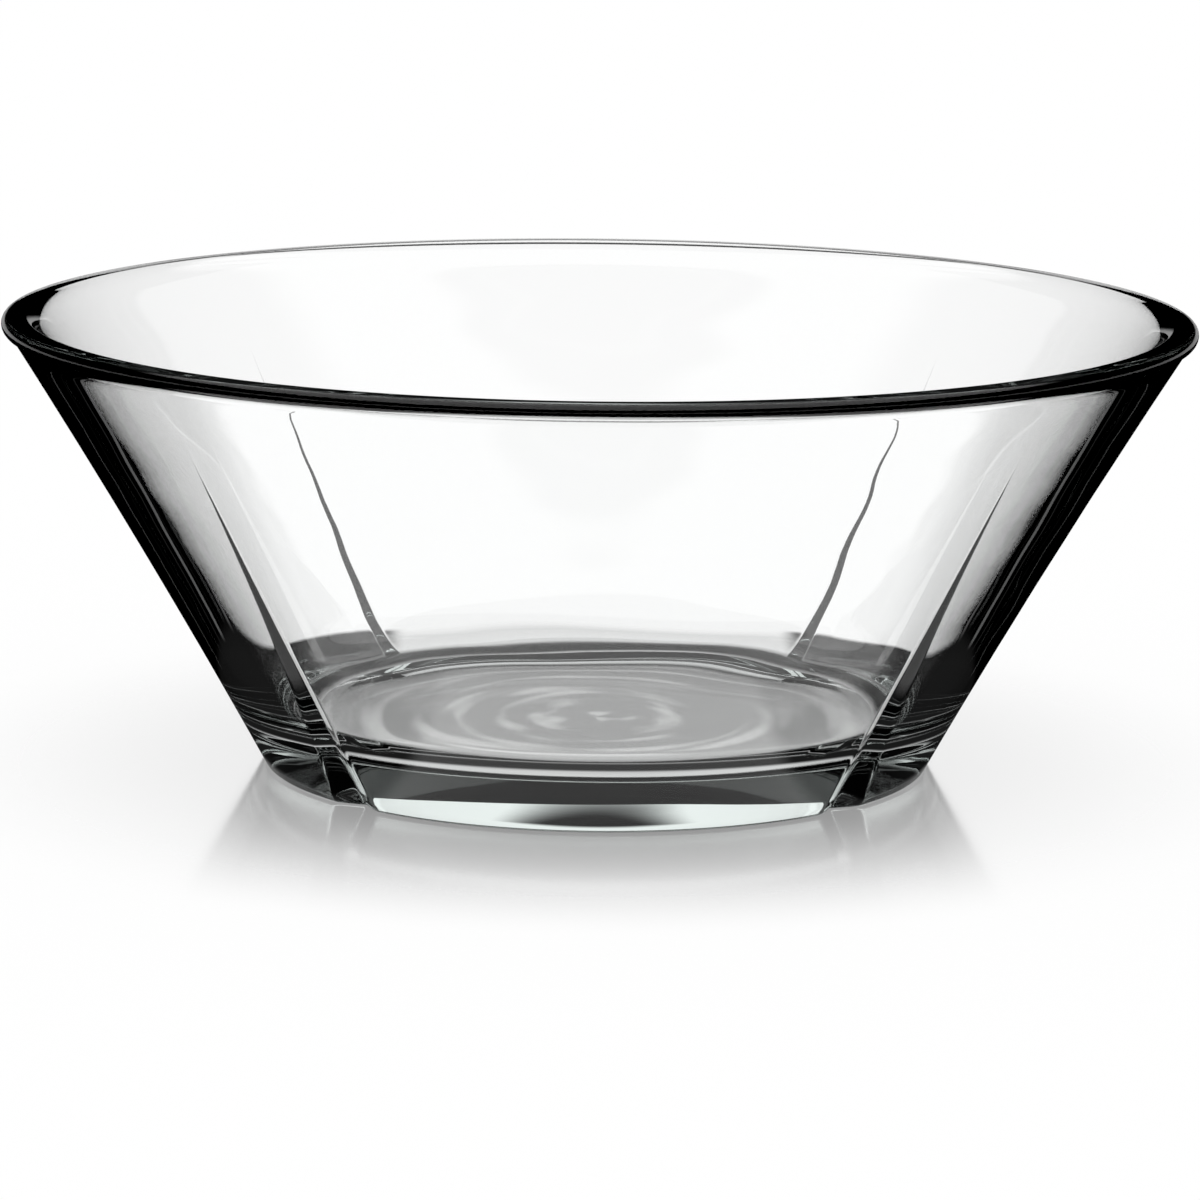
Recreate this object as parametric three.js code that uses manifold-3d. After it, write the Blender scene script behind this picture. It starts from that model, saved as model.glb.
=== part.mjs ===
// A clear pressed-glass serving bowl: a flared round wall on a thick base, with a rounded lip and
// four tapered V-grooves on the outside that notch the foot and run out towards the rim.
// Millimetres, +Z up. The origin is the centre of the foot, on the surface that the bowl stands on.

import * as THREE from "three";
import { mergeVertices } from "three/addons/utils/BufferGeometryUtils.js";
import Module from "manifold-3d";

// Outside of the bowl
const RIM_RADIUS = 122.5; // the outermost point of the lip
const HEIGHT = 93.5;
const FOOT_RADIUS = 68.7; // where the line of the wall meets the foot plane
const WALL_BOW = 0.85; // how far the middle of the wall lies inside a straight line from foot to lip
const FOOT_EDGE_RADIUS = 1.2;

// Lip
const LIP_WIDTH = 5; // from the outermost point to the inner edge
const LIP_RADIUS = 1.6; // the rounding of the outer edge
const LIP_BEAD = 0.85; // how far that rounding stands proud of the wall below it
const LIP_INNER_RADIUS = 0.6;
const LIP_TAPER = 1.5; // the height over which the wall loses most of its extra width at the lip

// Inside of the bowl
const BASE_THICKNESS = 12.5;
const WALL_WIDTH_AT_FLOOR = 9.2; // measured level, at the height of the inner floor
const WALL_WIDTH_BELOW_LIP = 7; // measured level, just below the lip
const FLOOR_FILLET = 14;

// Underside
const STANDING_RING_WIDTH = 9;
const RECESS_DEPTH = 0.8;

// Grooves
const GROOVE_COUNT = 4;
const FIRST_GROOVE = Math.PI / 4; // the direction half way between +X and +Y
const GROOVE_DEPTH = 3; // at the foot, measured level
const GROOVE_TOP = 74; // the height at which a groove runs out
const GROOVE_ANGLE = THREE.MathUtils.degToRad(125); // between the two faces of the V

// Facets
const TURN_STEPS = 96;
const WALL_STEPS = 8;
const ROUND_STEPS = 4;
const OVERCUT = 1.5; // how far a cutter reaches past the glass
const SAME_POINT = 1e-4;

const wasm = await Module();
wasm.setup();

// Turns a closed three.js geometry into a solid that can be cut.
function solidOf(geometry) {
  const bare = new THREE.BufferGeometry();
  bare.setAttribute("position", geometry.getAttribute("position"));
  bare.setIndex(geometry.getIndex());
  const merged = mergeVertices(bare, SAME_POINT);
  const vertProperties = merged.getAttribute("position").array;
  const triVerts = new Uint32Array(merged.getIndex().array);
  return new wasm.Manifold(new wasm.Mesh({ numProp: 3, vertProperties, triVerts }));
}

// Turns a cut solid back into a three.js geometry.
function geometryOf(made) {
  const { vertProperties, triVerts } = made.getMesh();
  const geometry = new THREE.BufferGeometry();
  geometry.setAttribute("position", new THREE.BufferAttribute(vertProperties, 3));
  geometry.setIndex(new THREE.BufferAttribute(triVerts, 1));
  geometry.computeVertexNormals();
  return geometry;
}

// A point of the half outline: its distance from the axis and its height.
const at = (radius, height) => new THREE.Vector2(radius, height);

// Points on the arc that rounds a corner, where the outline comes in along one direction
// and leaves along another.
function roundCorner(corner, incoming, outgoing, radius, steps) {
  const back = incoming.clone().negate().normalize();
  const ahead = outgoing.clone().normalize();
  const half = Math.acos(back.dot(ahead)) / 2;
  const centre = back.clone().add(ahead).setLength(radius / Math.sin(half)).add(corner);
  const start = back.clone().setLength(radius / Math.tan(half)).add(corner);
  const turn = Math.sign(back.cross(ahead)) * (2 * half - Math.PI);
  const points = [];
  for (let i = 0; i <= steps; i++) {
    points.push(start.clone().rotateAround(centre, (turn * i) / steps));
  }
  return points;
}

// Lip: a bead at the outer edge. The wall runs into it from below.
const lean = Math.atan2(RIM_RADIUS - FOOT_RADIUS, HEIGHT);
const beadCentre = at(RIM_RADIUS - LIP_RADIUS, HEIGHT - LIP_RADIUS);
const beadStart = -lean - Math.acos(1 - LIP_BEAD / LIP_RADIUS);
const bead = new THREE.EllipseCurve(
  beadCentre.x, beadCentre.y, LIP_RADIUS, LIP_RADIUS, beadStart, Math.PI / 2,
);
const wallEnd = bead.getPoint(0);

// The outer side of the wall: a straight line from the foot to the bead, bowed towards the axis.
function outerRadius(height) {
  const share = height / wallEnd.y;
  return THREE.MathUtils.lerp(FOOT_RADIUS, wallEnd.x, share) - 4 * WALL_BOW * share * (1 - share);
}

// The inner side: the wall's width inside the outer one. The width falls evenly from the floor
// upwards, and shrinks to that of the lip near the top.
const lipEdge = at(RIM_RADIUS - LIP_WIDTH, HEIGHT);
const widthAtLip = outerRadius(HEIGHT) - lipEdge.x;
function innerRadius(height) {
  const share = (height - BASE_THICKNESS) / (HEIGHT - BASE_THICKNESS);
  const width = THREE.MathUtils.lerp(WALL_WIDTH_AT_FLOOR, WALL_WIDTH_BELOW_LIP, share);
  const nearLip = Math.exp((height - HEIGHT) / LIP_TAPER);
  return outerRadius(height) - THREE.MathUtils.lerp(width, widthAtLip, nearLip);
}

// The way a side of the wall climbs at a height.
function climb(radiusOf, height) {
  const step = SAME_POINT;
  return at((radiusOf(height + step) - radiusOf(height - step)) / (2 * step), 1).normalize();
}

// Points on a side of the wall between two heights, without the first and the last. They lie
// closer together towards the upper end, where the inner side curves.
function wallPoints(radiusOf, low, high) {
  const points = [];
  for (let i = 1; i < WALL_STEPS; i++) {
    const height = THREE.MathUtils.lerp(low, high, Math.sin((Math.PI / 2) * (i / WALL_STEPS)));
    points.push(at(radiusOf(height), height));
  }
  return points;
}

// The half outline, from the middle of the underside round the outside to the middle of the floor
function outline() {
  const outwards = at(1, 0);
  const inwards = at(-1, 0);
  const footEdge = roundCorner(
    at(FOOT_RADIUS, 0), outwards, climb(outerRadius, 0), FOOT_EDGE_RADIUS, ROUND_STEPS,
  );
  const ringInside = at(footEdge[0].x - STANDING_RING_WIDTH, 0);
  const recess = new THREE.QuadraticBezierCurve(
    at(0, RECESS_DEPTH), at(ringInside.x, RECESS_DEPTH), ringInside,
  );
  const innerLip = roundCorner(
    lipEdge, inwards, climb(innerRadius, HEIGHT).negate(), LIP_INNER_RADIUS, ROUND_STEPS,
  );
  const floorEdge = at(innerRadius(BASE_THICKNESS), BASE_THICKNESS);
  const fillet = roundCorner(
    floorEdge, climb(innerRadius, BASE_THICKNESS).negate(), inwards, FLOOR_FILLET, 2 * ROUND_STEPS,
  );
  return [
    ...recess.getPoints(ROUND_STEPS),
    ...footEdge,
    ...wallPoints(outerRadius, footEdge.at(-1).y, wallEnd.y),
    ...bead.getPoints(2 * ROUND_STEPS),
    ...innerLip,
    ...wallPoints(innerRadius, fillet[0].y, innerLip.at(-1).y).reverse(),
    ...fillet,
    at(0, BASE_THICKNESS),
  ];
}

// The bowl before the grooves are cut
function turnedBowl() {
  const turned = new THREE.LatheGeometry(outline(), TURN_STEPS);
  turned.rotateX(Math.PI / 2);
  return solidOf(turned);
}

// The cutter of one groove, along +X: a V whose bottom is a straight line, from its full depth at
// the foot to the face of the wall at its top.
function grooveCutter() {
  const spread = Math.tan(GROOVE_ANGLE / 2);
  const positions = [];
  const triangles = [];
  for (let i = 0; i <= WALL_STEPS; i++) {
    const height = THREE.MathUtils.lerp(-OVERCUT, GROOVE_TOP, i / WALL_STEPS);
    const share = height / GROOVE_TOP;
    const bottom = THREE.MathUtils.lerp(FOOT_RADIUS - GROOVE_DEPTH, outerRadius(GROOVE_TOP), share);
    const mouth = outerRadius(height) + OVERCUT;
    const halfWidth = (mouth - bottom) * spread;
    positions.push(bottom, 0, height);
    positions.push(mouth, -halfWidth, height);
    positions.push(mouth, halfWidth, height);
  }
  for (let i = 0; i < WALL_STEPS; i++) {
    for (let side = 0; side < 3; side++) {
      const low = 3 * i + side;
      const next = 3 * i + ((side + 1) % 3);
      triangles.push(low, next, next + 3, low, next + 3, low + 3);
    }
  }
  const last = 3 * WALL_STEPS;
  triangles.push(0, 2, 1, last, last + 1, last + 2);
  const cutter = new THREE.BufferGeometry();
  cutter.setAttribute("position", new THREE.Float32BufferAttribute(positions, 3));
  cutter.setIndex(triangles);
  return cutter;
}

let glass = turnedBowl();
for (let i = 0; i < GROOVE_COUNT; i++) {
  const direction = FIRST_GROOVE + (2 * Math.PI * i) / GROOVE_COUNT;
  glass = glass.subtract(solidOf(grooveCutter().rotateZ(direction)));
}

const clearGlass = new THREE.MeshStandardMaterial({
  color: 0xeef6f2,
  roughness: 0.03,
  metalness: 0,
  transparent: true,
  opacity: 0.35,
});

const bowl = new THREE.Mesh(geometryOf(glass), clearGlass);
bowl.name = "bowl";

const part = new THREE.Group();
part.add(bowl);

export default part;
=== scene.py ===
# %% [markdown]
# # A clear pressed-glass bowl
# The real bowl is one pressing of clear glass: a flared round wall on a thick base, a rounded lip, and four
# V-grooves on the outside that notch the foot and run out below the rim. Glass has no colour of its own to
# paint, so nearly all of its look comes from two things: the exact shape of both of its surfaces, and what
# stands around it. This script therefore spends its effort on a precise surface, and then on a studio.

import math

import bpy
import numpy as np
from mathutils import Matrix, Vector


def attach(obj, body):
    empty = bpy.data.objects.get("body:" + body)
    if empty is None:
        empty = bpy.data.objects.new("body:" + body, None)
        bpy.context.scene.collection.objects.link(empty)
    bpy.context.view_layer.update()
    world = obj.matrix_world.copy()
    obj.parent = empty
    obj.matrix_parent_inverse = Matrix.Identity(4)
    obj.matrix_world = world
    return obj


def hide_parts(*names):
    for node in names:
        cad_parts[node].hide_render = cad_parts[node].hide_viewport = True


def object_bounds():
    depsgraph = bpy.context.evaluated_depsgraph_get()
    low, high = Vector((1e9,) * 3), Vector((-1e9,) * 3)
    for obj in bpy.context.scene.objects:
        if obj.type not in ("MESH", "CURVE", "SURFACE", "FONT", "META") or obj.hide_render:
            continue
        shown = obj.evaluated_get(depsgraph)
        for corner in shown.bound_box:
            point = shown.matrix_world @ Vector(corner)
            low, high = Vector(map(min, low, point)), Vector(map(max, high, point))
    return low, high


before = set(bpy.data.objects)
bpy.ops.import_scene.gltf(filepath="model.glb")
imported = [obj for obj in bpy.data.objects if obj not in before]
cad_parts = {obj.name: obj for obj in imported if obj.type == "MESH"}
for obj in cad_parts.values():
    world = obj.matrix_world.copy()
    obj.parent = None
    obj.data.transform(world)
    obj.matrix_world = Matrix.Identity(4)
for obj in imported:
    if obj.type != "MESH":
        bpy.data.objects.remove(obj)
cad_low, cad_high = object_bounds()
print("solid model reaches", [round(v, 4) for v in (*cad_low, *cad_high)])

# %% [markdown]
# ## Sizes
# The rim and the height are read from the solid model, so the glass surface can't outgrow it. The other
# sizes are those of the solid, but for three that the light shows more finely: the wall tapers over a
# shorter way below the lip, the lip's inner edge is rounder, and the grooves run out a little higher. A
# bowl like this could be turned from a drawn curve, but a formula is better here: glass shows every small
# kink in a surface as a crooked line in the picture.

# %% Name the sizes of the bowl
MM = 0.001

RIM_RADIUS = cad_high.x
HEIGHT = cad_high.z
FOOT_RADIUS = 68.7 * MM
WALL_BOW = 0.85 * MM
FOOT_EDGE_RADIUS = 1.2 * MM

LIP_WIDTH = 5 * MM
LIP_RADIUS = 1.6 * MM
LIP_BEAD = 0.85 * MM
LIP_INNER_RADIUS = 0.9 * MM

BASE_THICKNESS = 12.5 * MM
WALL_WIDTH_AT_FLOOR = 9.2 * MM
WALL_WIDTH_BELOW_LIP = 7 * MM
LIP_TAPER = 0.6 * MM
FLOOR_FILLET = 14 * MM

STANDING_RING_WIDTH = 9 * MM
RECESS_DEPTH = 0.8 * MM

print("rim", round(2 * RIM_RADIUS, 4), "m across,", round(HEIGHT, 4), "m tall")

# %% [markdown]
# ## The two sides of the wall
# The outer wall leans out and is bowed a little towards the axis, so it is a parabola in height. Between it
# and the inner wall the glass grows slowly thinner from the floor up, and quickly just below the lip. That
# thickness decides how broad the dark edges of the bowl look, because light that enters within one wall's
# width of the outline is turned back at the inner side.

# %% The outer and the inner wall as functions of height
LEAN = math.atan2(RIM_RADIUS - FOOT_RADIUS, HEIGHT)
BEAD_CENTRE = np.array([RIM_RADIUS - LIP_RADIUS, HEIGHT - LIP_RADIUS])
BEAD_START = -LEAN - math.acos(1 - LIP_BEAD / LIP_RADIUS)
WALL_END = BEAD_CENTRE + LIP_RADIUS * np.array([math.cos(BEAD_START), math.sin(BEAD_START)])
SLOPE_STEP = 0.1 * MM


def outer_radius(z):
    """A straight line from the foot to the bead, less a parabola that is WALL_BOW deep at half height."""
    u = z / WALL_END[1]
    return FOOT_RADIUS + (WALL_END[0] - FOOT_RADIUS) * u - 4 * WALL_BOW * u * (1 - u)


def inner_radius(z):
    """The outer radius less the wall's width. The width falls evenly from the floor upwards, and near the
    top a decaying exponential takes it to the width of the lip."""
    share = (z - BASE_THICKNESS) / (HEIGHT - BASE_THICKNESS)
    width = WALL_WIDTH_AT_FLOOR + (WALL_WIDTH_BELOW_LIP - WALL_WIDTH_AT_FLOOR) * share
    width_at_lip = outer_radius(HEIGHT) - (RIM_RADIUS - LIP_WIDTH)
    return outer_radius(z) - width + (width - width_at_lip) * np.exp((z - HEIGHT) / LIP_TAPER)


def direction(radius_of, z):
    """The way a wall climbs at a height, as a unit vector of radius and height."""
    run = np.array([radius_of(z + SLOPE_STEP) - radius_of(z - SLOPE_STEP), 2 * SLOPE_STEP])
    return run / np.linalg.norm(run)


print("wall ends under the bead at", np.round(WALL_END / MM, 1), "mm")
print("inner floor corner at radius", round(inner_radius(BASE_THICKNESS) / MM, 1), "mm")

# %% [markdown]
# ## The half outline
# Every corner of the outline is an arc, since molten glass pulls its own corners round. The same small
# function makes each of them from the corner point, the two directions that meet there and a radius.

# %% Arcs for the corners


def arc(centre, radius, start, end, steps):
    """Points at even angles on a circle."""
    angle = np.linspace(start, end, steps + 1)
    return centre + radius * np.stack([np.cos(angle), np.sin(angle)], axis=1)


def round_corner(corner, incoming, outgoing, radius, steps):
    """The arc that touches both directions. Its centre is radius / sin(half angle) along their bisector."""
    back, ahead = -np.asarray(incoming, float), np.asarray(outgoing, float)
    half = math.acos(back @ ahead) / 2
    bisector = (back + ahead) / np.linalg.norm(back + ahead)
    centre = corner + bisector * radius / math.sin(half)
    first = corner + back * radius / math.tan(half) - centre
    turn = np.sign(back[0] * ahead[1] - back[1] * ahead[0]) * (2 * half - math.pi)
    start = math.atan2(first[1], first[0])
    return arc(centre, radius, start, start + turn, steps)


# %% Put the half outline together
WALL_STEPS = 72
INNER_STEPS = 56
EDGE_STEPS = 6
BEAD_STEPS = 12
RECESS_STEPS = 18
FILLET_STEPS = 18
FLOOR_STEPS = 14
RECESS_FLATNESS = 6
OUTWARDS = np.array([1.0, 0.0])


def wall_points(radius_of, low, high, steps):
    """Points at even heights on a wall, without its two ends."""
    z = np.linspace(low, high, steps + 1)[1:-1]
    return np.stack([radius_of(z), z], axis=1)


def half_outline():
    """The outline from the middle of the underside round to the middle of the floor, and how far each of
    its points follows the grooves: fully on the outer wall, and less and less across the standing ring."""
    foot_corner = np.array([FOOT_RADIUS, 0.0])
    foot_edge = round_corner(
        foot_corner, OUTWARDS, direction(outer_radius, 0.0), FOOT_EDGE_RADIUS, EDGE_STEPS)
    ring_inside = foot_edge[0, 0] - STANDING_RING_WIDTH
    share = np.linspace(0, 1, RECESS_STEPS, endpoint=False)
    recess = np.stack([ring_inside * share, RECESS_DEPTH * (1 - share ** RECESS_FLATNESS)], axis=1)
    ring_share = np.linspace(0, 1, EDGE_STEPS, endpoint=False)
    ring = np.stack([ring_inside + STANDING_RING_WIDTH * ring_share, 0 * ring_share], axis=1)

    bead = arc(BEAD_CENTRE, LIP_RADIUS, BEAD_START, math.pi / 2, BEAD_STEPS)
    lip_corner = np.array([RIM_RADIUS - LIP_WIDTH, HEIGHT])
    lip_edge = round_corner(
        lip_corner, -OUTWARDS, -direction(inner_radius, HEIGHT), LIP_INNER_RADIUS, EDGE_STEPS)
    floor_corner = np.array([inner_radius(BASE_THICKNESS), BASE_THICKNESS])
    fillet = round_corner(
        floor_corner, -direction(inner_radius, BASE_THICKNESS), -OUTWARDS, FLOOR_FILLET, FILLET_STEPS)
    floor_share = np.linspace(1, 0, FLOOR_STEPS + 1)[1:]
    floor = np.stack([fillet[-1, 0] * floor_share, np.full_like(floor_share, BASE_THICKNESS)], axis=1)

    outer_wall = wall_points(outer_radius, foot_edge[-1, 1], WALL_END[1], WALL_STEPS)
    outside = np.concatenate([foot_edge, outer_wall])
    inside = wall_points(inner_radius, lip_edge[-1, 1], fillet[0, 1], INNER_STEPS)
    rest = np.concatenate([bead, lip_edge, inside, fillet, floor])
    outline = np.concatenate([recess, ring, outside, rest])
    follows = np.concatenate([0 * share, ring_share, np.ones(len(outside)), np.zeros(len(rest))])
    return outline, follows


outline, follows = half_outline()
print("half outline has", len(outline), "points")

# %% [markdown]
# ## The grooves
# Each groove is a shallow V whose bottom is a straight line, like the cut of a wheel: deepest at the foot,
# and out of the glass below the lip. It could be cut with a boolean, but a boolean leaves uneven facets,
# which show in glass. Here the wall itself is pushed in: the depth at each point is the V's depth there,
# less the distance from its middle over the V's half width, rounded softly where the V meets the wall.

# %% How deep the grooves are at any angle and height
GROOVE_COUNT = 4
FIRST_GROOVE = math.pi / 4
GROOVE_DEPTH = 3 * MM
GROOVE_TOP = 77 * MM
GROOVE_ANGLE = math.radians(125)
GROOVE_BOTTOM_RADIUS = 0.25 * MM
GROOVE_LIP = 0.3 * MM
LEAST_LIP = 0.05


def groove_depth(angle, radius, z):
    """Depth of the nearest groove. The V's bottom is a straight line from GROOVE_DEPTH inside the foot to
    the wall at GROOVE_TOP. Its point is rounded as a hyperbola, and its lips as a parabola that meets the
    wall smoothly."""
    pitch = 2 * math.pi / GROOVE_COUNT
    aside = np.abs((angle - FIRST_GROOVE + pitch / 2) % pitch - pitch / 2) * radius
    bottom = FOOT_RADIUS - GROOVE_DEPTH
    bottom = bottom + (outer_radius(GROOVE_TOP) - bottom) * z / GROOVE_TOP
    full = outer_radius(z) - bottom
    rounded = np.sqrt(aside ** 2 + GROOVE_BOTTOM_RADIUS ** 2) - GROOVE_BOTTOM_RADIUS
    depth = full - rounded / math.tan(GROOVE_ANGLE / 2)
    lip = np.clip(full / GROOVE_DEPTH, LEAST_LIP, 1) * GROOVE_LIP
    eased = (depth + lip) ** 2 / (4 * lip)
    return np.where(depth > lip, depth, np.where(depth < -lip, 0, eased))


TURN_STEPS = 480
GATHERING = 0.86


def turn_angles():
    """Angles round the bowl, gathered at the grooves: an even share of the turn, less a sine with one wave
    for each groove, so that the steps are narrow at a groove and wide half way between two."""
    share = np.arange(TURN_STEPS) / TURN_STEPS * GROOVE_COUNT
    gathered = share - GATHERING * np.sin(2 * math.pi * share) / (2 * math.pi)
    return FIRST_GROOVE + gathered * 2 * math.pi / GROOVE_COUNT


angles = turn_angles()
print("finest step round the bowl", round(float(np.diff(angles).min()) * RIM_RADIUS / MM, 2), "mm")

# %% [markdown]
# ## The glass surface
# The outline is carried round the axis, the grooves push its outer side in, and a faint waviness is added,
# as pressed and fire-polished glass has. The waves are only hundredths of a millimetre high. They could be
# a bump in the material, but as real shape they bend the light at both surfaces, and they are part of
# the mesh.

# %% Waviness of the walls
WAVES = 14
WAVE_SLOPE = 0.0022
WAVE_LENGTH = (9 * MM, 26 * MM)
WAVE_ACROSS = (3, 12)
WAVES_FROM = 8 * MM
WAVES_BELOW_RIM = 10 * MM
WAVES_EASE = 6 * MM
OUTER_SEED = 3
INNER_SEED = 8
ON_THE_WALL = 0.01 * MM


def waviness(angle, z, seed):
    """A sum of sines with whole counts round the bowl and wavelengths up the wall drawn from a seeded
    generator. Each has the height that gives it the same slope."""
    draw = np.random.default_rng(seed)
    wavelength = draw.uniform(*WAVE_LENGTH, WAVES)
    count = draw.integers(*WAVE_ACROSS, WAVES) * draw.choice([-1, 1], WAVES)
    phase = draw.uniform(0, 2 * math.pi, WAVES)
    height = WAVE_SLOPE * wavelength / (2 * math.pi) / math.sqrt(WAVES / 2)
    waves = [h * np.sin(2 * math.pi * z / w + n * angle + p)
             for h, w, n, p in zip(height, wavelength, count, phase)]
    return np.sum(waves, axis=0)


def between(z, low, high, soft):
    """A mask over heights: one between low and high, easing to nothing over a soft margin outside them."""
    ease = np.clip(np.minimum(z - low, high - z) / soft + 1, 0, 1)
    return ease * ease * (3 - 2 * ease)


# %% Carry the outline round the axis
def bowl_surface():
    """Vertices, quads and triangles of the whole bowl: each outline point becomes a ring, and the two ends
    on the axis become single points with a fan of triangles."""
    radius, z = outline[1:-1, :1], outline[1:-1, 1:]
    ring_count = len(radius)
    pushed = groove_depth(angles[None, :], radius, z) * follows[1:-1, None]
    outside = follows[1:-1, None] == 1
    inside = np.abs(radius - inner_radius(z)) < ON_THE_WALL
    outer_waves = np.where(outside, waviness(angles[None, :], z, OUTER_SEED), 0)
    inner_waves = np.where(inside & ~outside, waviness(angles[None, :], z, INNER_SEED), 0)
    wavy = between(z, WAVES_FROM, HEIGHT - WAVES_BELOW_RIM, WAVES_EASE)
    r = radius - pushed + (outer_waves + inner_waves) * wavy
    rings = np.stack([r * np.cos(angles), r * np.sin(angles), np.broadcast_to(z, r.shape)], axis=-1)
    poles = np.array([[0, 0, outline[0, 1]], [0, 0, outline[-1, 1]]])
    vertices = np.concatenate([rings.reshape(-1, 3), poles])

    here = np.arange(TURN_STEPS)
    following = (here + 1) % TURN_STEPS
    start = np.arange(ring_count - 1)[:, None] * TURN_STEPS
    above = start + TURN_STEPS
    quads = np.stack([start + here, start + following, above + following, above + here], -1)
    low_pole, high_pole = len(vertices) - 2, len(vertices) - 1
    last = (ring_count - 1) * TURN_STEPS
    low_fan = np.stack([np.full_like(here, low_pole), following, here], -1)
    high_fan = np.stack([np.full_like(here, high_pole), last + here, last + following], -1)
    return vertices, quads.reshape(-1, 4), np.concatenate([low_fan, high_fan])


def mesh_of(name, vertices, quads, triangles):
    """A mesh from whole arrays, with smooth faces."""
    corners = np.concatenate([quads.ravel(), triangles.ravel()]).astype(np.int32)
    sizes = np.concatenate([np.full(len(quads), 4), np.full(len(triangles), 3)]).astype(np.int32)
    starts = np.concatenate([[0], np.cumsum(sizes)[:-1]]).astype(np.int32)
    mesh = bpy.data.meshes.new(name)
    mesh.vertices.add(len(vertices))
    mesh.vertices.foreach_set("co", vertices.astype(np.float32).ravel())
    mesh.loops.add(len(corners))
    mesh.loops.foreach_set("vertex_index", corners)
    mesh.polygons.add(len(sizes))
    mesh.polygons.foreach_set("loop_start", starts)
    mesh.polygons.foreach_set("loop_total", sizes)
    mesh.update(calc_edges=True)
    mesh.validate()
    mesh.shade_smooth()
    return mesh


vertices, quads, triangles = bowl_surface()
bowl = bpy.data.objects.new("bowl_glass", mesh_of("bowl_glass", vertices, quads, triangles))
bpy.context.scene.collection.objects.link(bowl)
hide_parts("bowl")
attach(bowl, "root")
print("glass surface has", 2 * len(quads) + len(triangles), "triangles")

# %% [markdown]
# ## The glass
# Clear soda-lime glass bends light by an index of 1.52 and takes a little red out of it over a long way,
# which is why thick edges look faintly green. The tint is a volume absorption, so thin places stay clear
# and long ways through the base turn greenish. A painted tint would colour both alike. On the polished skin
# lies a very fine ripple, made as a bump from stretched noise.

# %% Make the glass material
GLASS_INDEX = 1.52
CLEAR = (1, 1, 1, 1)
EDGE_TINT = (0.72, 0.9, 0.84, 1)
EDGE_TINT_DENSITY = 3
RIPPLE_SCALE = 60
RIPPLE_STRETCH = (1, 1, 2.5)
RIPPLE_HEIGHT = 0.004 * MM


def glass_material():
    """A plain transmitting shader with absorption inside and a fine bump on its skin."""
    material = bpy.data.materials.new("clear_pressed_glass")
    material.use_nodes = True
    tree = material.node_tree
    shader = tree.nodes["Principled BSDF"]
    shader.inputs["Base Color"].default_value = CLEAR
    shader.inputs["Roughness"].default_value = 0
    shader.inputs["IOR"].default_value = GLASS_INDEX
    shader.inputs["Transmission Weight"].default_value = 1
    inside = tree.nodes.new("ShaderNodeVolumeAbsorption")
    inside.inputs["Color"].default_value = EDGE_TINT
    inside.inputs["Density"].default_value = EDGE_TINT_DENSITY
    tree.links.new(inside.outputs["Volume"], tree.nodes["Material Output"].inputs["Volume"])

    place = tree.nodes.new("ShaderNodeTexCoord")
    stretch = tree.nodes.new("ShaderNodeMapping")
    stretch.inputs["Scale"].default_value = RIPPLE_STRETCH
    ripple = tree.nodes.new("ShaderNodeTexNoise")
    ripple.inputs["Scale"].default_value = RIPPLE_SCALE
    ripple.inputs["Detail"].default_value = 1
    bump = tree.nodes.new("ShaderNodeBump")
    bump.inputs["Strength"].default_value = 1
    bump.inputs["Distance"].default_value = RIPPLE_HEIGHT
    tree.links.new(place.outputs["Object"], stretch.inputs["Vector"])
    tree.links.new(stretch.outputs["Vector"], ripple.inputs["Vector"])
    tree.links.new(ripple.outputs["Fac"], bump.inputs["Height"])
    tree.links.new(bump.outputs["Normal"], shader.inputs["Normal"])
    return material


bowl.data.materials.append(glass_material())
print("glass index", GLASS_INDEX)

# %% [markdown]
# ## Helpers for light that is worked out
# The table and the world below are small sums. A few helpers keep them readable: one Math node, a smooth
# step from nothing to one, the inverse of a value, a blend of two values, and a test for whether a ray has
# been bent or mirrored on its way.

# %% Math nodes as functions
HALF_A_BOUNCE = 0.5


def math_node(tree, operation, *values):
    """A Math node whose inputs are numbers or the outputs of other nodes."""
    node = tree.nodes.new("ShaderNodeMath")
    node.operation = operation
    for socket, value in zip(node.inputs, values):
        if isinstance(value, bpy.types.NodeSocket):
            tree.links.new(value, socket)
        else:
            socket.default_value = value
    return node.outputs[0]


def smooth_step(tree, value, middle, edge):
    """Eases from nothing to one, over an edge on both sides of the middle."""
    node = tree.nodes.new("ShaderNodeMapRange")
    node.interpolation_type = "SMOOTHSTEP"
    tree.links.new(value, node.inputs["Value"])
    node.inputs["From Min"].default_value = middle - edge
    node.inputs["From Max"].default_value = middle + edge
    return node.outputs["Result"]


def inverse(tree, value):
    """One less the value."""
    return math_node(tree, "SUBTRACT", 1.0, value)


def blend(tree, share, first, second):
    """The first value plus a share of the way to the second."""
    way = math_node(tree, "SUBTRACT", second, first)
    return math_node(tree, "MULTIPLY_ADD", way, share, first)


def happened(tree, bounces):
    """One where a ray has had at least one bounce of a kind, and nothing where it has had none."""
    return math_node(tree, "GREATER_THAN", bounces, HALF_A_BOUNCE)


# %% [markdown]
# ## The table
# The bowl stands on a white glossy table. Its paint glows by itself, so that it stays white in every view,
# and a small share of it is matt paint that takes the bowl's shadow. Around the foot the table mirrors the
# glass softly, and the mirror fades out with distance. A plain glossy floor would mirror just as much far
# away, and turn grey.
#
# Through the glass the table shows painted light and shade, glowing levels that only rays from the glass
# see, because the thick base draws every shade there large. The hollow under the bowl is a dim painted
# shade with painted bright wisps in place of gathered light, the standing ring sits on a ring of dark
# painted shade, and a dark patch of painted shade lies on either side. Farther out, rays from the glass go
# on through the table to the studio, which is worked out in the world.

# %% Name the shades of the table
TABLE_SIZE = 12
MATT_SHARE = 0.06
TABLE_ROUGHNESS = 0.12
MIRROR_SHARE = 0.7
MIRROR_RADIUS = 105 * MM
MIRROR_EDGE = 45 * MM

# Painted light and shade on the table, seen only by rays from the glass: a dim hollow, a dark ring, a
# dimmer near table and dark patches at the sides.
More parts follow.
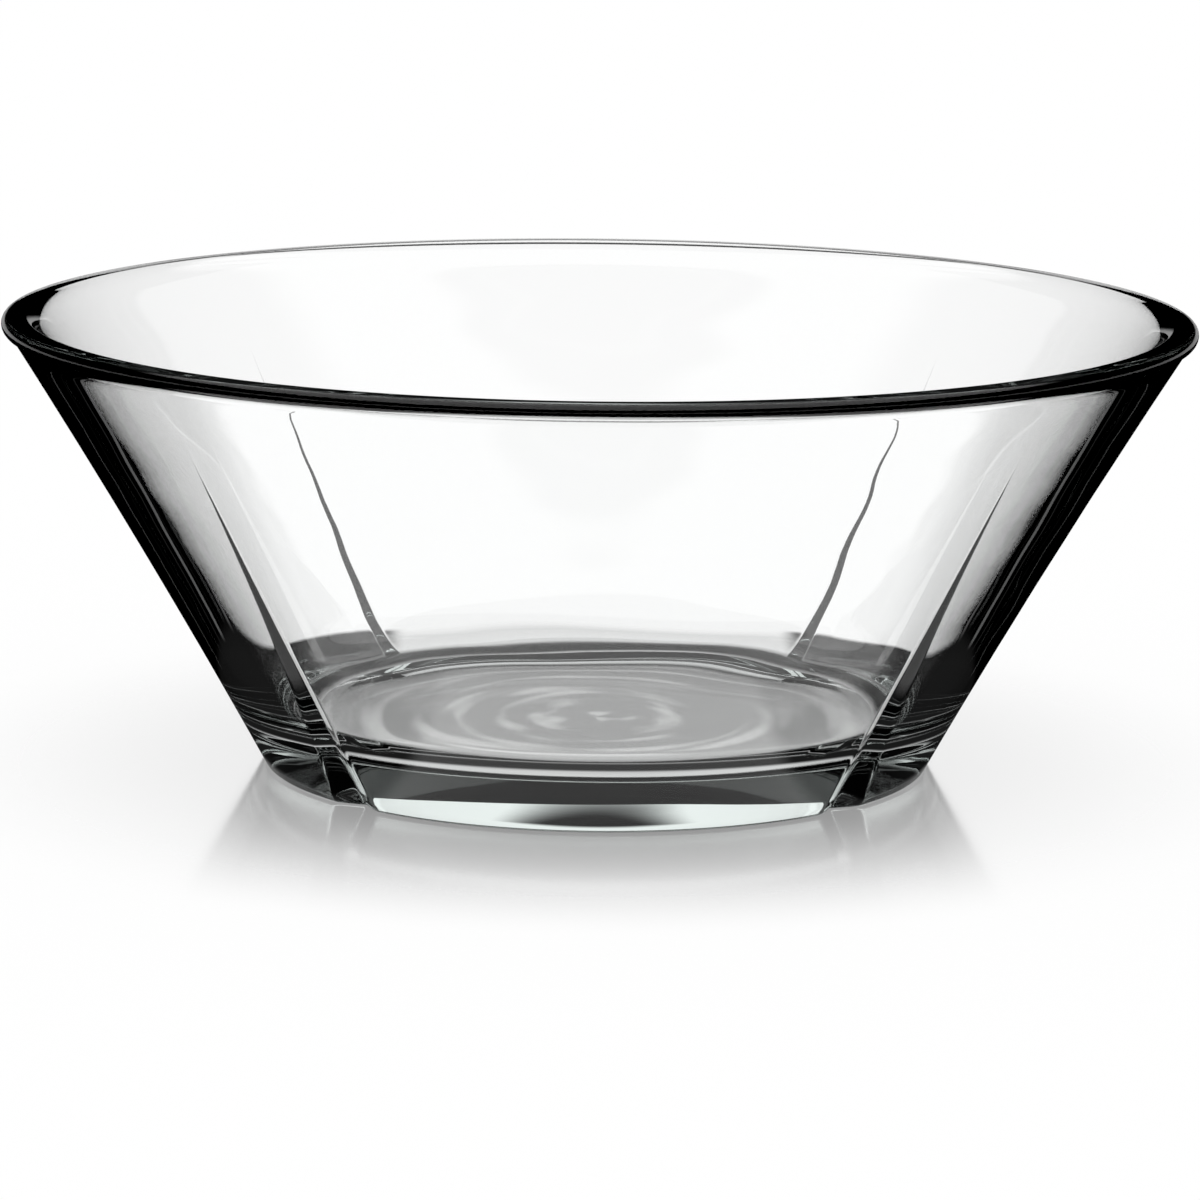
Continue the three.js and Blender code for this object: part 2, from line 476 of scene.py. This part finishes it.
HOLLOW_LEVEL = 0.6
HOLLOW_RADIUS = 60 * MM
RING_LEVEL = 0.01
RING_RADIUS = 69 * MM
RING_EDGE = 2 * MM
NEAR_LEVEL = 0.78
NEAR_RADIUS = 86 * MM
NEAR_EDGE = 6 * MM
# Painted shade: a dark patch on either side of the bowl, seen only through the glass.
SIDE_SHADE_LEVEL = 0.01
SIDE_SHADE_START = 46 * MM
SIDE_SHADE_EDGE = 3 * MM
SIDE_SHADE_REACH_ASIDE = 106 * MM
SIDE_SHADE_REACH_BACK = 87 * MM
SIDE_SHADE_END = 1
SIDE_SHADE_SOFTNESS = 0.03

# Painted light: bright wisps in the dim hollow, seen only through the glass.
WISP_LEVEL = 0.4
WISP_STEPS_OUT = 160
WISP_STEPS_ROUND = 0.8
WISP_MIDDLE = 0.59
WISP_EDGE = 0.11

# %% The painted light and shade of the table, as it shows through the glass


def wisps(tree, place, out):
    """Painted light: bright wisps in the hollow in place of light that the glass gathers. Noise in polar
    terms. Two of its coordinates are the direction from the middle, spread little, and the third is the
    distance out, spread much, so that each wisp follows a circle round the middle."""
    towards = tree.nodes.new("ShaderNodeVectorMath")
    towards.operation = "NORMALIZE"
    tree.links.new(place, towards.inputs[0])
    spread = tree.nodes.new("ShaderNodeVectorMath")
    spread.operation = "SCALE"
    spread.inputs["Scale"].default_value = WISP_STEPS_ROUND
    tree.links.new(towards.outputs["Vector"], spread.inputs[0])
    steps = tree.nodes.new("ShaderNodeCombineXYZ")
    tree.links.new(math_node(tree, "MULTIPLY", out, WISP_STEPS_OUT), steps.inputs["Z"])
    polar = tree.nodes.new("ShaderNodeVectorMath")
    tree.links.new(spread.outputs["Vector"], polar.inputs[0])
    tree.links.new(steps.outputs["Vector"], polar.inputs[1])
    noise = tree.nodes.new("ShaderNodeTexNoise")
    noise.inputs["Scale"].default_value = 1
    noise.inputs["Detail"].default_value = 1
    tree.links.new(polar.outputs["Vector"], noise.inputs["Vector"])
    return smooth_step(tree, noise.outputs["Fac"], WISP_MIDDLE, WISP_EDGE)


def shades(tree, place, out):
    """The painted light level of the table from the middle out, and how far it lets rays through. The
    levels are blended one after another: the dim hollow with its bright wisps, the dark ring, the near
    table, and dark patches of painted shade at the sides, which begin at a set distance to the side and end
    at an oval."""
    split = tree.nodes.new("ShaderNodeSeparateXYZ")
    tree.links.new(place, split.inputs[0])
    aside = math_node(tree, "ABSOLUTE", split.outputs["X"])
    past_ring = smooth_step(tree, out, RING_RADIUS, RING_EDGE)
    # Painted shade at both sides, past the ring.
    in_side_shade = math_node(tree, "MULTIPLY", past_ring, smooth_step(tree, aside, SIDE_SHADE_START, SIDE_SHADE_EDGE))
    hollow = math_node(tree, "MULTIPLY_ADD", wisps(tree, place, out), WISP_LEVEL, HOLLOW_LEVEL)
    level = blend(tree, smooth_step(tree, out, HOLLOW_RADIUS, RING_EDGE), hollow, RING_LEVEL)
    level = blend(tree, past_ring, level, NEAR_LEVEL)
    level = blend(tree, in_side_shade, level, SIDE_SHADE_LEVEL)
    past_near = smooth_step(tree, out, NEAR_RADIUS, NEAR_EDGE)
    oval = tree.nodes.new("ShaderNodeVectorMath")
    oval.operation = "DIVIDE"
    oval.inputs[1].default_value = (SIDE_SHADE_REACH_ASIDE, SIDE_SHADE_REACH_BACK, 1)
    tree.links.new(place, oval.inputs[0])
    reach = tree.nodes.new("ShaderNodeVectorMath")
    reach.operation = "LENGTH"
    tree.links.new(oval.outputs["Vector"], reach.inputs[0])
    past_side_shade = smooth_step(tree, reach.outputs["Value"], SIDE_SHADE_END, SIDE_SHADE_SOFTNESS)
    return level, blend(tree, in_side_shade, past_near, past_side_shade)


# %% Make the table


def mixed(tree, share, first, second):
    """A Mix Shader node: the first shader, and a share of the second in its place."""
    node = tree.nodes.new("ShaderNodeMixShader")
    tree.links.new(share, node.inputs[0])
    tree.links.new(first, node.inputs[1])
    tree.links.new(second, node.inputs[2])
    return node.outputs[0]


def table_material():
    """Glowing white and matt paint under a soft mirror, and for rays from the glass the painted light
    and shade above.
    """
    material = bpy.data.materials.new("pale_table")
    material.use_nodes = True
    tree = material.node_tree
    tree.nodes.clear()
    place = tree.nodes.new("ShaderNodeTexCoord").outputs["Object"]
    length = tree.nodes.new("ShaderNodeVectorMath")
    length.operation = "LENGTH"
    tree.links.new(place, length.inputs[0])
    out = length.outputs["Value"]

    matt = tree.nodes.new("ShaderNodeBsdfDiffuse")
    matt.inputs["Color"].default_value = (MATT_SHARE, MATT_SHARE, MATT_SHARE, 1)
    glow = tree.nodes.new("ShaderNodeEmission")
    glow.inputs["Strength"].default_value = 1 - MATT_SHARE
    white = tree.nodes.new("ShaderNodeAddShader")
    tree.links.new(matt.outputs[0], white.inputs[0])
    tree.links.new(glow.outputs[0], white.inputs[1])
    mirror = tree.nodes.new("ShaderNodeBsdfGlossy")
    mirror.inputs["Roughness"].default_value = TABLE_ROUGHNESS
    near = inverse(tree, smooth_step(tree, out, MIRROR_RADIUS, MIRROR_EDGE))
    near = math_node(tree, "MULTIPLY", near, MIRROR_SHARE)
    plain = mixed(tree, near, white.outputs[0], mirror.outputs[0])

    # The painted light and shade, which glows only for rays that come from the glass.
    level, open_share = shades(tree, place, out)
    shade = tree.nodes.new("ShaderNodeEmission")
    tree.links.new(level, shade.inputs["Strength"])
    gap = tree.nodes.new("ShaderNodeBsdfTransparent")
    under_glass = mixed(tree, open_share, shade.outputs[0], gap.outputs[0])

    path = tree.nodes.new("ShaderNodeLightPath")
    bent = happened(tree, path.outputs["Transmission Depth"])
    mirrored = happened(tree, path.outputs["Glossy Depth"])
    from_glass = math_node(tree, "MAXIMUM", bent, mirrored)
    output = tree.nodes.new("ShaderNodeOutputMaterial")
    tree.links.new(mixed(tree, from_glass, plain, under_glass), output.inputs["Surface"])
    return material


half = TABLE_SIZE / 2
corners = [(-half, -half, 0), (half, -half, 0), (half, half, 0), (-half, half, 0)]
table_mesh = bpy.data.meshes.new("table")
table_mesh.from_pydata(corners, [], [(0, 1, 2, 3)])
table_mesh.materials.append(table_material())
table = bpy.data.objects.new("table", table_mesh)
bpy.context.scene.collection.objects.link(table)
print("table is", TABLE_SIZE, "m wide")

# %% [markdown]
# ## The studio
# Clear glass is photographed in front of something white with dark boards around it. Straight through, the
# glass is as white as the backdrop. Where the glass turns light back inside its wall, at its edges and in
# its grooves, it shows the dark boards as crisp black shapes. Boards could stand in the scene as meshes,
# but then they would get in the way of any other view. Here the world holds them, in bands of height that
# are the same all round, and only rays that have met the glass see them.
#
# Cycles counts a total reflection inside the glass as a glossy bounce, so rays that were turned back can be
# told from rays that were let through. The first see the boards where the others see the low white
# backdrop. Steep rays see the white table or a white ceiling, so that what the walls mirror is as white as
# what they let through. Faint stripes on the boards draw the fine grey lines in the dark edges. No level is
# above one, which is white.

# %% Make the world
LOW_FROM = -40
LOW_FROM_EDGE = 8
LOW_TO = 4
LOW_TO_EDGE = 1.5
HIGH_FROM = 24
HIGH_TO = 50
HIGH_EDGE = 0.8
STRIPES_PER_DEGREE = 0.7
STRIPE_MIDDLE = 0.64
STRIPE_EDGE = 0.06
STRIPE_LEVEL = 0.16
BELOW = -46
ABOVE = 42
STEEP_EDGE = 3
GLINT_FROM = -6
GLINT_EDGE = 1
GLINT_LEVEL = 0.45


def band(tree, value, start, start_edge, end, end_edge):
    """One between start and end, with soft edges: a smooth step up times a smooth step down."""
    begun = smooth_step(tree, value, start, start_edge)
    ended = smooth_step(tree, value, end, end_edge)
    return math_node(tree, "MULTIPLY", begun, inverse(tree, ended))


def stripes(tree, climb):
    """Faint lines on the dark boards: noise over the ray's height alone, kept where it is strongest."""
    noise = tree.nodes.new("ShaderNodeTexNoise")
    noise.noise_dimensions = "1D"
    noise.inputs["Scale"].default_value = STRIPES_PER_DEGREE
    tree.links.new(climb, noise.inputs["W"])
    line = smooth_step(tree, noise.outputs["Fac"], STRIPE_MIDDLE, STRIPE_EDGE)
    return math_node(tree, "MULTIPLY", line, STRIPE_LEVEL)


def studio():
    """The level of light by a ray's height in degrees. For rays that the glass lets through, a low and a
    high band and all below are lit. For rays that it turned back, the low band is dark. Plain mirrorings on
    its outside are lit only from far below and above, with a weak glint near the level."""
    world = bpy.data.worlds.new("studio")
    world.use_nodes = True
    tree = world.node_tree
    place = tree.nodes.new("ShaderNodeTexCoord")
    split = tree.nodes.new("ShaderNodeSeparateXYZ")
    tree.links.new(place.outputs["Generated"], split.inputs[0])
    climb = math_node(tree, "DEGREES", math_node(tree, "ARCSINE", split.outputs["Z"]))
    path = tree.nodes.new("ShaderNodeLightPath")
    bent = happened(tree, path.outputs["Transmission Depth"])
    turned = happened(tree, path.outputs["Glossy Depth"])

    low = band(tree, climb, LOW_FROM, LOW_FROM_EDGE, LOW_TO, LOW_TO_EDGE)
    high = band(tree, climb, HIGH_FROM, HIGH_EDGE, HIGH_TO, HIGH_EDGE)
    below = inverse(tree, smooth_step(tree, climb, BELOW, STEEP_EDGE))
    above = smooth_step(tree, climb, ABOVE, STEEP_EDGE)
    low = math_node(tree, "MULTIPLY", low, inverse(tree, turned))
    lit = math_node(tree, "MAXIMUM", math_node(tree, "MAXIMUM", low, high), stripes(tree, climb))
    through_glass = math_node(tree, "MULTIPLY", math_node(tree, "MAXIMUM", lit, below), bent)
    mirrored = math_node(tree, "MULTIPLY", turned, path.outputs["Is Singular Ray"])
    met_glass = math_node(tree, "MAXIMUM", bent, mirrored)
    glint = band(tree, climb, GLINT_FROM, GLINT_EDGE, LOW_TO, LOW_TO_EDGE)
    glint = math_node(tree, "MULTIPLY", glint, GLINT_LEVEL)
    glint = math_node(tree, "MAXIMUM", glint, math_node(tree, "MAXIMUM", below, above))
    glint = math_node(tree, "MULTIPLY", glint, inverse(tree, bent))
    plain = math_node(tree, "MAXIMUM", inverse(tree, met_glass), glint)
    level = math_node(tree, "ADD", through_glass, plain)
    tree.links.new(level, tree.nodes["Background"].inputs["Color"])
    return world


bpy.context.scene.world = studio()
print("dark boards from", LOW_TO, "to", HIGH_FROM, "degrees above the horizon")

# %% [markdown]
# ## The camera
# The lens and the place were worked out from the outline of the rim, the foot and the grooves in the
# photograph: a long lens a little over a metre away, looking down by eleven degrees.

# %% Place the camera
CAMERA_DISTANCE = 1.1025
CAMERA_HEIGHT = 0.2484
CAMERA_ASIDE = 0.0006
CAMERA_DIP = 0.1927
CAMERA_ROLL = 0.0110
CAMERA_TURN = math.radians(-0.87)
FILM_WIDTH = 36
LENS = 162.2

lens = bpy.data.cameras.new("camera")
lens.sensor_width = FILM_WIDTH
lens.lens = LENS
camera = bpy.data.objects.new("camera", lens)
bpy.context.scene.collection.objects.link(camera)
spot = Matrix.Translation((CAMERA_ASIDE, -CAMERA_DISTANCE, CAMERA_HEIGHT))
tilt = Matrix.Rotation(math.pi / 2 - CAMERA_DIP, 4, "X") @ Matrix.Rotation(CAMERA_ROLL, 4, "Z")
camera.matrix_world = Matrix.Rotation(CAMERA_TURN, 4, "Z") @ spot @ tilt
bpy.context.scene.camera = camera
bpy.context.scene.view_settings.view_transform = "Standard"
print("camera looks down by", round(math.degrees(CAMERA_DIP), 1), "degrees")
